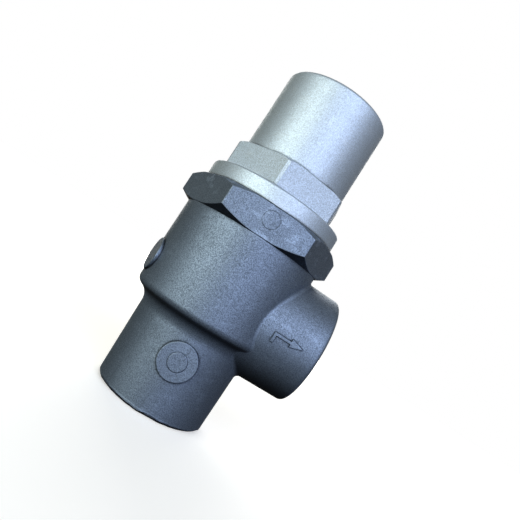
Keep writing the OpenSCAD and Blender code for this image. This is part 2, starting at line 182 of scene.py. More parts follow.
class Paint(Wiring):
    """A node material in the making."""

    def __init__(self, name: str) -> None:
        """Starts an empty material with one Principled shader.

        Args:
            name: The material's name.
        """
        self.material = bpy.data.materials.new(name)
        self.material.use_nodes = True
        super().__init__(self.material.node_tree)
        self.tree.nodes.clear()
        self.shader = self.tree.nodes.new("ShaderNodeBsdfPrincipled")
        self.output = self.tree.nodes.new("ShaderNodeOutputMaterial")
        self.tree.links.new(self.shader.outputs["BSDF"], self.output.inputs["Surface"])

    def place(self) -> Signal:
        """The point's place on the piece, in metres."""
        return self.node("ShaderNodeTexCoord", {}, {}, "Object")

    def noise(self, size_mm: float, detail: float = 2.0, stretch: tuple = (1.0, 1.0, 1.0)) -> Signal:
        """Noise on the object's own coordinates.

        Args:
            size_mm: Size of a grain in millimetres.
            detail: Octaves of the noise.
            stretch: Scale of the coordinates along X, Y and Z.

        Returns:
            The noise, from 0 to 1.
        """
        spot = self.node("ShaderNodeMapping", {}, {"Vector": self.place(), "Scale": stretch})
        return self.node("ShaderNodeTexNoise", {},
                         {"Vector": spot, "Scale": 1.0 / (size_mm * MM), "Detail": detail, "Roughness": 0.55})

    def openness(self, reach_mm: float) -> Signal:
        """How open the surface is: 1 where nothing is within reach, less in corners and crevices."""
        return self.node("ShaderNodeAmbientOcclusion", {"samples": 8}, {"Distance": reach_mm * MM}, "AO")

    def share(self, name: str) -> Signal:
        """A share from 0 to 1 that add_share gave the piece's points, 0 on every other piece."""
        return self.node("ShaderNodeAttribute", {"attribute_name": name}, {}, "Fac")

    def thinness(self, reach_mm: float) -> Signal:
        """How near an outer edge is: 0 in the middle of a face, more where the metal behind it ends."""
        inside = self.node("ShaderNodeAmbientOcclusion", {"samples": 6, "inside": True, "only_local": True},
                           {"Distance": reach_mm * MM}, "AO")
        return 1 - inside

    def rise(self) -> Signal:
        """How far the surface faces up: the height part of its normal, from -1 to 1."""
        normal = self.node("ShaderNodeNewGeometry", {}, {}, "Normal")
        return self.node("ShaderNodeSeparateXYZ", {}, {0: normal}, "Z")

    def bump(self, height: Signal, depth_mm: float, strength: float, below: "Signal | None" = None) -> Signal:
        """A bump from a height between 0 and 1.

        Args:
            height: The height signal.
            depth_mm: Real height of the bump in millimetres.
            strength: How strongly it shows.
            below: An earlier bump that this one lies on.

        Returns:
            The changed normal.
        """
        inputs = {"Height": height, "Distance": depth_mm * MM, "Strength": strength}
        if below is not None:
            inputs["Normal"] = below
        return self.node("ShaderNodeBump", {}, inputs)


def rgba(tone: tuple, gain: float = 1.0) -> tuple:
    """A tone made lighter or darker by a gain, with full alpha."""
    return (*(min(1.0, part * gain) for part in tone), 1.0)


@dataclass(frozen=True)
class BlastedFinish:
    """A shot-blasted or bead-blasted metal surface: pitted, matt, with a soft sheen."""

    slot: Slot
    tone: tuple
    metallic: float
    roughness: float
    pit_mm: float
    pit_depth_mm: float
    speckle: float
    cloud: float
    # Strength of the painted shade in corners and crevices.
    corner_shade: float
    scuff: float
    streak: float
    # Strength of the painted shade on surfaces that face down.
    underside_shade: float
    wear: float
    # Sizes of the marks.
    dent_gain: float = 2.7
    cloud_mm: float = 14.0
    scuff_mm: float = 7.0
    run_mm: float = 1.6
    speck_mm: float = 1.1
    edge_mm: float = 0.7
    corner_mm: float = 1.4
    # Values of its own noise or measure at which a mark begins and is full.
    pit_span: tuple = (0.32, 0.68)
    cloud_span: tuple = (0.3, 0.7)
    scuff_span: tuple = (0.54, 0.70)
    scuff_pit_span: tuple = (0.3, 0.6)
    edge_span: tuple = (0.04, 0.5)
    edge_pit_span: tuple = (0.25, 0.6)
    run_span: tuple = (0.56, 0.74)
    speck_span: tuple = (0.76, 0.84)
    # The next two spans are for painted shade: in corners by the openness measure, and on what faces down by the
    # height part of the normal.
    corner_span: tuple = (0.60, 0.97)
    underside_shade_span: tuple = (-0.95, -0.42)
    # Tones of the marks, as parts of the metal's own tone.
    coarse_tone: float = 0.35
    scuff_tone: float = 1.9
    bare_tone: float = 2.2
    streak_tone: float = 0.3
    # Tone of every painted shade: in corners, on what faces down and in a marked groove.
    painted_shade_tone: float = 0.06
    # How much of a mark shows.
    coarse_dark: float = 0.12
    coarse_dull: float = 0.04
    pit_dull: float = 0.12
    rub_gain: float = 0.6
    run_gain: float = 0.6
    # Strength of the painted shade in a marked groove.
    groove_shade_gain: float = 0.7

    def material(self) -> bpy.types.Material:
        """Builds the material.

        Returns:
            A material whose pits change colour, roughness and normal together, coarser where asked, with painted
            shade in its corners, on what faces down and in a marked groove, faint dark streaks along the axis, and
            metal rubbed light on edges and in scuffs.
        """
        paint = Paint(f"{self.slot.value}_finish")
        pits = paint.noise(self.pit_mm, 2.0)
        dents = paint.noise(self.pit_mm * self.dent_gain, 1.0)
        grain = paint.ramp(pits, *self.pit_span)
        shade = paint.ramp(paint.noise(self.cloud_mm, 2.0), *self.cloud_span)
        dull, light = 1 - self.speckle, 1 + self.speckle
        low = paint.mix(shade, rgba(self.tone, dull - self.cloud), rgba(self.tone, dull))
        high = paint.mix(shade, rgba(self.tone, light - self.cloud), rgba(self.tone, light))
        coarse = paint.share("coarse")
        deep = (1 - grain) * coarse * self.coarse_dark
        blasted = paint.mix(deep, paint.mix(grain, low, high), rgba(self.tone, self.coarse_tone))
        smears = paint.ramp(paint.noise(self.scuff_mm, 5.0, (1.0, 1.0, 2.2)), *self.scuff_span)
        smears = smears * paint.ramp(pits, *self.scuff_pit_span)
        touched = smears * (paint.share("rub") * self.rub_gain + self.scuff)
        rubbed = paint.mix(touched, blasted, rgba(self.tone, self.scuff_tone))
        bare = paint.ramp(paint.thinness(self.edge_mm), *self.edge_span) * paint.ramp(dents, *self.edge_pit_span)
        worn = paint.mix(bare * self.wear, rubbed, rgba(self.tone, self.bare_tone))
        runs = paint.ramp(paint.noise(self.run_mm, 2.0, (1.0, 1.0, 0.16)), *self.run_span)
        specks = paint.ramp(paint.noise(self.speck_mm, 0.0), *self.speck_span)
        streaks = (runs * self.run_gain).larger(specks) * self.streak
        marked = paint.mix(streaks, worn, rgba(self.tone, self.streak_tone))
        # Painted shade: darker where corners and crevices close the surface in.
        corners = (1 - paint.ramp(paint.openness(self.corner_mm), *self.corner_span)) * self.corner_shade
        # Painted shade: darker on surfaces that face down, where less light reaches.
        below = (1 - paint.ramp(paint.rise(), *self.underside_shade_span)) * self.underside_shade
        # Painted shade: the strongest of the corner, underside and groove shade darkens the base colour.
        dark = corners.larger(below).larger(paint.share("groove_shade") * self.groove_shade_gain)
        shader = paint.shader.inputs
        paint.feed(shader["Base Color"], paint.mix(dark, marked, rgba(self.tone, self.painted_shade_tone)))
        paint.feed(shader["Roughness"], self.roughness + self.pit_dull * (0.5 - grain) + self.coarse_dull * coarse)
        paint.feed(shader["Metallic"], self.metallic)
        dented = paint.bump(dents, self.pit_depth_mm * 1.5, 0.5)
        paint.feed(shader["Normal"], paint.bump(pits, self.pit_depth_mm, 0.9, dented))
        return paint.material


@dataclass(frozen=True)
class TurnedFinish:
    """A turned or plated metal surface with fine tool rings about the valve axis."""

    slot: Slot
    tone: tuple
    roughness: float
    ring_mm: float
    ring_depth_mm: float

    def material(self) -> bpy.types.Material:
        """Builds the material.

        Returns:
            A metal whose rings follow the distance from the axis and the height.
        """
        paint = Paint(f"{self.slot.value}_finish")
        spot = paint.node("ShaderNodeSeparateXYZ", {}, {0: paint.place()})
        across = Signal(paint, spot.socket.node.outputs["X"])
        along = Signal(paint, spot.socket.node.outputs["Y"])
        up = Signal(paint, spot.socket.node.outputs["Z"])
        reach = (across * across + along * along) ** 0.5
        rings = paint.node("ShaderNodeTexNoise", {"noise_dimensions": "1D"},
                           {"W": reach + up, "Scale": 1.0 / (self.ring_mm * MM), "Detail": 2.0})
        smear = paint.noise(5.0, 3.0)
        stain = paint.ramp(smear, 0.35, 0.7)
        shader = paint.shader.inputs
        tone = paint.mix(stain, rgba(self.tone, 0.86), rgba(self.tone, 1.05))
        paint.feed(shader["Base Color"], tone)
        paint.feed(shader["Metallic"], 1.0)
        paint.feed(shader["Roughness"], self.roughness + 0.16 * (rings - 0.5) + 0.08 * stain)
        paint.feed(shader["Normal"], paint.bump(rings, self.ring_depth_mm, 0.6))
        return paint.material


@dataclass(frozen=True)
class MouldedFinish:
    """Rubber or plastic with a fine moulded skin."""

    slot: Slot
    tone: tuple
    roughness: float
    skin_mm: float

    def material(self) -> bpy.types.Material:
        """Builds the material.

        Returns:
            A dull moulded material with dusty patches.
        """
        paint = Paint(f"{self.slot.value}_finish")
        skin = paint.noise(self.skin_mm, 3.0)
        dust = paint.ramp(paint.noise(6.0, 3.0), 0.45, 0.8)
        shader = paint.shader.inputs
        paint.feed(shader["Base Color"], paint.mix(dust, rgba(self.tone), rgba(self.tone, 1.25)))
        paint.feed(shader["Roughness"], self.roughness + 0.15 * dust)
        paint.feed(shader["Normal"], paint.bump(skin, 0.02, 0.4))
        return paint.material


class PaintShop:
    """Makes each finish once and puts it on CAD nodes and pieces."""

    FINISHES = (
        BlastedFinish(Slot.CAST, (0.188, 0.240, 0.334), metallic=0.9, roughness=0.57, pit_mm=0.38,
                      pit_depth_mm=0.07, speckle=0.26, cloud=0.06, corner_shade=0.95, scuff=0.30, streak=0.35,
                      underside_shade=0.95, wear=0.22),
        BlastedFinish(Slot.BLASTED, (0.515, 0.605, 0.735), metallic=0.8, roughness=0.56, pit_mm=0.38,
                      pit_depth_mm=0.06, speckle=0.16, cloud=0.03, corner_shade=1.0, scuff=0.1, streak=0.12,
                      underside_shade=0.7, wear=0.08),
        MouldedFinish(Slot.RUBBER, (0.018, 0.018, 0.019), roughness=0.55, skin_mm=0.15),
        TurnedFinish(Slot.STEEL, (0.40, 0.41, 0.43), roughness=0.40, ring_mm=0.12, ring_depth_mm=0.004),
        TurnedFinish(Slot.SPRING, (0.24, 0.25, 0.27), roughness=0.36, ring_mm=0.5, ring_depth_mm=0.004),
        TurnedFinish(Slot.ZINC, (0.44, 0.45, 0.43), roughness=0.44, ring_mm=0.25, ring_depth_mm=0.003),
        TurnedFinish(Slot.BRASS, (0.60, 0.43, 0.19), roughness=0.30, ring_mm=0.12, ring_depth_mm=0.004),
        TurnedFinish(Slot.BRONZE, (0.42, 0.25, 0.12), roughness=0.48, ring_mm=0.2, ring_depth_mm=0.010),
        MouldedFinish(Slot.PLASTIC, (0.62, 0.58, 0.48), roughness=0.5, skin_mm=0.2),
    )

    def __init__(self) -> None:
        """Builds the materials of every slot."""
        self.materials = {finish.slot: finish.material() for finish in self.FINISHES}

    def dress(self, piece: bpy.types.Object, slot: Slot) -> None:
        """Gives an object the one material of a slot.

        Args:
            piece: A CAD node's object or a finished piece.
            slot: The material slot.
        """
        if not piece.material_slots:
            piece.data.materials.append(None)
        for holder in piece.material_slots:
            holder.material = self.materials[slot]

    def dress_nodes(self, record: dict) -> None:
        """Gives every CAD node the finish of the slot that its record names.

        Args:
            record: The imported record.
        """
        for row in record["subparts"]:
            self.dress(frame["nodes"][row["node"]], Slot(row["material_slot"]))


@dataclass
class Sheet:
    """A grid of points of shape (rows, columns, 3), and whether each direction closes on itself."""

    points: np.ndarray
    close_rows: bool = False
    close_columns: bool = False

    def faces(self, offset: int) -> np.ndarray:
        """Quads between neighbouring points; a face looks along rows' direction cross columns' direction.

        Args:
            offset: Number of the first point.

        Returns:
            An (n, 4) array of point numbers.
        """
        rows, columns = self.points.shape[:2]
        index = offset + np.arange(rows * columns).reshape(rows, columns)
        if self.close_rows:
            index = np.vstack([index, index[:1]])
        if self.close_columns:
            index = np.hstack([index, index[:, :1]])
        corners = [index[:-1, :-1], index[1:, :-1], index[1:, 1:], index[:-1, 1:]]
        return np.stack(corners, -1).reshape(-1, 4)


def make_piece(name: str, sheets: list, sharp_deg: float = 50.0, weld_mm: float = 0.0005) -> bpy.types.Object:
    """Makes one object of several grids.

    Args:
        name: The piece's name.
        sheets: Its grids, in metres.
        sharp_deg: Edges bent by more than this stay sharp.
        weld_mm: Points closer than this become one, which closes seams and poles.

    Returns:
        The linked object, at the origin.
    """
    counts = np.cumsum([0] + [sheet.points[..., 0].size for sheet in sheets])
    points = np.vstack([sheet.points.reshape(-1, 3) for sheet in sheets])
    quads = np.vstack([sheet.faces(int(start)) for sheet, start in zip(sheets, counts)])
    mesh = bpy.data.meshes.new(name)
    mesh.vertices.add(len(points))
    mesh.vertices.foreach_set("co", points.astype(np.float32).ravel())
    mesh.loops.add(quads.size)
    mesh.loops.foreach_set("vertex_index", quads.astype(np.int32).ravel())
    mesh.polygons.add(len(quads))
    mesh.polygons.foreach_set("loop_start", np.arange(0, quads.size, 4, dtype=np.int32))
    mesh.polygons.foreach_set("loop_total", np.full(len(quads), 4, dtype=np.int32))
    mesh.update(calc_edges=True)
    work = bmesh.new()
    work.from_mesh(mesh)
    bmesh.ops.remove_doubles(work, verts=work.verts, dist=weld_mm * MM)
    bmesh.ops.dissolve_degenerate(work, edges=work.edges, dist=weld_mm * MM * 0.5)
    work.to_mesh(mesh)
    work.free()
    mesh.polygons.foreach_set("use_smooth", np.ones(len(mesh.polygons), dtype=bool))
    mesh.set_sharp_from_angle(angle=math.radians(sharp_deg))
    piece = bpy.data.objects.new(name, mesh)
    bpy.context.scene.collection.objects.link(piece)
    weighted = piece.modifiers.new("even_shading", "WEIGHTED_NORMAL")
    weighted.keep_sharp = True
    return piece


def add_share(piece: bpy.types.Object, name: str, share: np.ndarray, places: np.ndarray) -> None:
    """Gives each point of a piece its share of painted groove shade, rubbing or coarser blasting, which the
    blasted finishes read.

    Args:
        piece: The piece.
        name: Name of the attribute: the one for painted groove shade, "rub" or "coarse".
        share: Share from 0 to 1 at each given place.
        places: Places in metres, of shape (n, 3); each point takes the value of the nearest.
    """
    points = np.empty(len(piece.data.vertices) * 3, np.float32)
    piece.data.vertices.foreach_get("co", points)
    gaps = ((points.reshape(-1, 1, 3) - places[None]) ** 2).sum(2)
    layer = piece.data.attributes.new(name, "FLOAT", "POINT")
    layer.data.foreach_set("value", share[gaps.argmin(1)].astype(np.float32))


def around_axis(radius: np.ndarray, angle: np.ndarray, height: np.ndarray) -> np.ndarray:
    """Points (radius cos angle, radius sin angle, height) about an axis."""
    return np.stack([radius * np.cos(angle), radius * np.sin(angle), height], -1)


def eased(share: np.ndarray) -> np.ndarray:
    """A share that starts and ends softly: share^2 (3 - 2 share)."""
    return share * share * (3 - 2 * share)


def round_corners(corners: np.ndarray, rounds: list, steps: int = 4) -> np.ndarray:
    """Rounds the corners of closed outlines with circular arcs.

    Each arc is the rational curve ((1-s)^2 A + 2 s (1-s) w P + s^2 B) / ((1-s)^2 + 2 s (1-s) w + s^2), where
    P is the corner, A and B lie on its two edges, and w is the sine of half the corner's angle.

    Args:
        corners: Corner points of shape (outlines, corners, 2).
        rounds: Radius of each corner.
        steps: Points on each arc.

    Returns:
        Points of shape (outlines, corners * steps, 2).
    """
    back = np.roll(corners, 1, axis=1) - corners
    ahead = np.roll(corners, -1, axis=1) - corners
    back_length = np.linalg.norm(back, axis=2, keepdims=True)
    ahead_length = np.linalg.norm(ahead, axis=2, keepdims=True)
    back_way = back / back_length
    ahead_way = ahead / ahead_length
    half = np.arccos(np.clip((back_way * ahead_way).sum(2, keepdims=True), -1, 1)) / 2
    reach = np.asarray(rounds).reshape(1, -1, 1) / np.tan(half)
    reach = np.minimum(reach, 0.48 * np.minimum(back_length, ahead_length))
    start = (corners + back_way * reach)[:, :, None]
    end = (corners + ahead_way * reach)[:, :, None]
    s = np.linspace(0, 1, steps).reshape(1, 1, -1, 1)
    weight = 2 * s * (1 - s) * np.sin(half)[:, :, None]
    total = (1 - s) ** 2 + weight + s ** 2
    arcs = ((1 - s) ** 2 * start + weight * corners[:, :, None] + s ** 2 * end) / total
    return arcs.reshape(len(corners), -1, 2)


def turned(outlines: np.ndarray, angles: np.ndarray, close_columns: bool = True) -> Sheet:
    """Carries an outline of radius and height about the valve axis.

    Args:
        outlines: Points of shape (angles, points, 2), radius and height in millimetres.
        angles: Angle of each outline in radians.
        close_columns: Whether the outline closes on itself.

    Returns:
        A grid that closes about the axis.
    """
    points = around_axis(outlines[..., 0], angles[:, None], outlines[..., 1]) * MM
    return Sheet(points, close_rows=True, close_columns=close_columns)


@dataclass(frozen=True)
class Hexagon:
    """A hexagon as a distance from the axis that changes with the angle.

    A corner is a round, or where arc_steps is 2 the flat chamfer between the round's two ends.
    """

    flats: float
    turn_deg: float
    edge_round: float
    arc_steps: int = 6
    flat_steps: int = 14

    @property
    def centre(self) -> float:
        """Distance from the axis to the middle of the circle that rounds a corner."""
        return self.flats / 2 / math.cos(SIXTH / 2) - self.edge_round / math.sin(SIXTH)

    @property
    def half_arc(self) -> float:
        """Half the angle at the axis that a corner's round takes up."""
        return SIXTH / 2 - math.atan2(self.centre / 2, self.flats / 2)

    def angles(self) -> np.ndarray:
        """Angles of a full turn: close together on the rounded corners, evenly spread on the flats.

        Returns:
            The angles in radians.
        """
        half_arc = self.half_arc
        arc = np.linspace(-half_arc, half_arc, self.arc_steps)
        flat = np.linspace(half_arc, SIXTH - half_arc, self.flat_steps)[1:-1]
        sector = np.concatenate([arc, flat])
        turns = np.arange(6)[:, None] * SIXTH
        return (sector[None] + turns).ravel() + math.radians(self.turn_deg)

    def radius(self, angles: np.ndarray) -> np.ndarray:
        """Distance of the outline from the axis.

        On a flat it is the half width over the cosine of the angle to the flat's middle; on a corner it is
        where the ray meets the circle that rounds the corner.

        Args:
            angles: Angles in radians.

        Returns:
            Distances in millimetres.
        """
        off = np.mod(angles - math.radians(self.turn_deg) + SIXTH / 2, SIXTH) - SIXTH / 2
        flat = self.flats / 2 / np.cos(SIXTH / 2 - np.abs(off))
        root = np.sqrt(np.maximum(self.edge_round ** 2 - (self.centre * np.sin(off)) ** 2, 0))
        return np.where(np.abs(off) <= self.half_arc + 1e-9, self.centre * np.cos(off) + root, flat)


def ring_corners(angles: np.ndarray, corners: list) -> np.ndarray:
    """Spreads corners over all angles: each is a pair whose parts are numbers or arrays over the angles.

    Args:
        angles: The angles.
        corners: Pairs of radius and height.

    Returns:
        An array of shape (angles, corners, 2).
    """
    even = np.ones_like(angles)
    return np.stack([np.stack([radius * even, height * even], -1) for radius, height in corners], 1)


@dataclass(frozen=True)
class Bevel:
    """The bevel of a hexagon's end: a cone that starts at a circle on the end face."""

    face_r: float
    face_z: float
    upward: bool
    slope: float = math.tan(math.radians(30))
    least: float = 0.25

    def corners(self, radius: np.ndarray) -> list:
        """The bevel's two corners: on the end face and on the side.

        Args:
            radius: The hexagon's distance from the axis at each angle.

        Returns:
            The corner on the side and the corner on the face, as pairs of radius and height.
        """
        drop = np.maximum((radius - self.face_r) * self.slope, self.least)
        inner = np.minimum(radius - self.least, self.face_r)
        side = self.face_z - drop if self.upward else self.face_z + drop
        return [(radius, side), (inner, self.face_z)]


def node_levels(node: str) -> tuple:
    """The lowest and highest height of a CAD node at rest, in millimetres."""
    low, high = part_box(node)
    return low[2] / MM, high[2] / MM


def dress_piece(shop: PaintShop, piece: bpy.types.Object, slot: Slot, body: str, *nodes: str) -> None:
    """Finishes a piece, lets it ride on a body and hides the CAD nodes that it stands for.

    Args:
        shop: The paint shop.
        piece: The piece.
        slot: Its material slot.
        body: The CAD body that carries it.
        nodes: The CAD nodes that it replaces.
    """
    shop.dress(piece, slot)
    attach(piece, body)
    if nodes:
        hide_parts(*nodes)
    log.info("%s rides on %s, %d faces", piece.name, body, len(piece.data.polygons))


@dataclass(frozen=True)
class HexagonRing:
    """The dark hexagon ring between the casting and the bonnet."""

    hexagon: Hexagon = Hexagon(59.8, 1.85, 0.6)
    bevel_gain: float = 0.6
    thread_r: float = 25.0
    skirt_r: float = 23.3
    guide_r: float = 20.0
    upper_bore_r: float = 24.03
    seal_bore_r: float = 25.93
    seal_cord: float = 1.9
    bore_step: float = 4.2
    skirt_l: float = 5.0
    mark_r: float = 3.35
    mark_turn_deg: float = 271.85
    mark_aside: float = 0.4
    mark_up: float = 7.15

    def build(self, shop: PaintShop) -> None:
        """Builds the ring as one turned solid with a hexagon stretch, and its round mark.

        Args:
            shop: The paint shop.
        """
        low, high = node_levels("hex_ring")
        seat = node_levels("valve_body")[1]
        angles = self.hexagon.angles()
        radius = self.hexagon.radius(angles)
        flat_r = self.hexagon.flats / 2
        under = Bevel(flat_r, seat, upward=False).corners(radius)
        over = Bevel(flat_r + self.bevel_gain, high, upward=True).corners(radius)
        corners = [(self.guide_r + 1, low), (self.skirt_r, low), (self.skirt_r, low + self.skirt_l),
                   (self.thread_r, low + self.skirt_l), (self.thread_r, seat), under[1], under[0], over[0],
                   over[1], (self.seal_bore_r, high), (self.seal_bore_r, high - self.seal_cord),
                   (self.upper_bore_r, high - self.seal_cord), (self.upper_bore_r, seat + self.bore_step),
                   (self.guide_r, seat + self.bore_step), (self.guide_r, low + 1)]
        rounds = [0.1, 0.3, 0.2, 0.3, 0.2, 0.35, 0.35, 0.35, 0.35, 0.2, 0.1, 0.1, 0.1, 0.1, 0.1]
        outline = round_corners(ring_corners(angles, corners), rounds)
        piece = make_piece("hexagon_ring", [turned(outline, angles)])
        add_share(piece, "rub", np.ones(1), np.zeros((1, 3)))
        dress_piece(shop, piece, Slot.CAST, "housing", "hex_ring")
        self.build_mark(shop, seat)

    def build_mark(self, shop: PaintShop, seat: float) -> None:
        """Builds the plain round mark on the front flat: a faint pad with a fine groove around it, darkened by
        painted shade.

        Args:
            shop: The paint shop.
            seat: Height of the ring's lower face.
        """
        turn = math.radians(self.mark_turn_deg)
        out = np.array([math.cos(turn), math.sin(turn), 0])
        aside = np.array([-math.sin(turn), math.cos(turn), 0])
        up = np.array([0, 0, 1.0])
        centre = out * self.hexagon.flats / 2 + aside * self.mark_aside + up * (seat + self.mark_up)
        around = np.linspace(0, TAU, 64, endpoint=False)[:, None]
        rim = self.mark_r
        # From the hidden foot outside the groove, over the groove, to the hidden foot at the middle.
        reach = rim + np.array([0.9, 0.9, 0.3, 0.13, 0.06, 0.0, -0.06, -0.13, -0.3, -1.2, -rim, -rim])
        height = np.array([-1.5, -0.02, 0.04, 0.04, 0.01, 0.0, 0.01, 0.04, 0.05, 0.05, 0.05, -1.5])
        # Share of painted shade at each ring of points: full at the bottom of the groove.
        depth = np.array([0, 0, 0, 0, 0.9, 1.0, 0.9, 0, 0, 0, 0, 0])
        place = np.stack([reach * np.cos(around), reach * np.sin(around), height + 0 * around], -1)
        sheet = Sheet((centre + place @ np.stack([aside, up, out])) * MM, True, True)
        piece = make_piece("ring_mark", [sheet])
        # The groove's painted shade, which the blasted finish reads.
        add_share(piece, "groove_shade", np.tile(depth, len(around)), sheet.points.reshape(-1, 3))
        add_share(piece, "rub", np.ones(1), np.zeros((1, 3)))
        dress_piece(shop, piece, Slot.CAST, "housing")


@dataclass(frozen=True)
class Bonnet:
    """The bright bonnet: threaded spigot, flange, hexagon and spring housing in one piece.

    Edges bent by more than sharp_deg stay crisp: those of the chamfers at the hexagon's corners.
    """

    hexagon: Hexagon = Hexagon(46.2, 20.3, 1.25, arc_steps=2)
    hex_h: float = 11.8
    bevel_gain: float = 1.4
    flange_r: float = 29.35
    flange_h: float = 6.6
    flange_round: float = 0.9
    housing_r: float = 22.6
    housing_h: float = 35.2
    housing_round: float = 1.5
    thread_r: float = 24.0
    spigot_bore_r: float = 20.6
    spring_r: float = 18.2
    screw_bore_r: float = 5.05
    end_wall: float = 8.5
    throat_up: float = 2.0
    sharp_deg: float = 28.0

    def build(self, shop: PaintShop) -> None:
        """Builds the bonnet as one turned solid with a hexagon stretch.

        Args:
            shop: The paint shop.
        """
        spigot, top = node_levels("bonnet")
        hex_top = top - self.housing_h
        flange_top = hex_top - self.hex_h
        seat = flange_top - self.flange_h
        throat = seat + self.throat_up
        ceiling = top - self.end_wall
        angles = self.hexagon.angles()
        radius = self.hexagon.radius(angles)
        over = Bevel(self.hexagon.flats / 2 + self.bevel_gain, hex_top, upward=True).corners(radius)
        corners = [(self.spigot_bore_r, spigot), (self.thread_r, spigot), (self.thread_r, seat),
                   (self.flange_r, seat), (self.flange_r, flange_top), (radius, flange_top), over[0], over[1],
                   (self.housing_r, hex_top), (self.housing_r, top), (self.screw_bore_r, top),
                   (self.screw_bore_r, ceiling), (self.spring_r, ceiling),
                   (self.spring_r, throat + self.spigot_bore_r - self.spring_r), (self.spigot_bore_r, throat)]
        rounds = [0.3, 0.6, 0.1, 0.35, self.flange_round, 0.2, 0.35, 0.35, 0.2, self.housing_round, 0.4, 0.3, 1.0,
                  0.5, 0.5]
        outline = round_corners(ring_corners(angles, corners), rounds, steps=5)
        piece = make_piece("bonnet_shell", [turned(outline, angles)], sharp_deg=self.sharp_deg)
        middle = hex_top - self.hex_h / 2
        heights = np.array([middle - self.hex_h, middle, middle + self.hex_h])
        add_share(piece, "coarse", np.array([0.0, 1.0, 0.0]), heights[:, None] * np.array([0, 0, MM]))
        dress_piece(shop, piece, Slot.BLASTED, "housing", "bonnet")


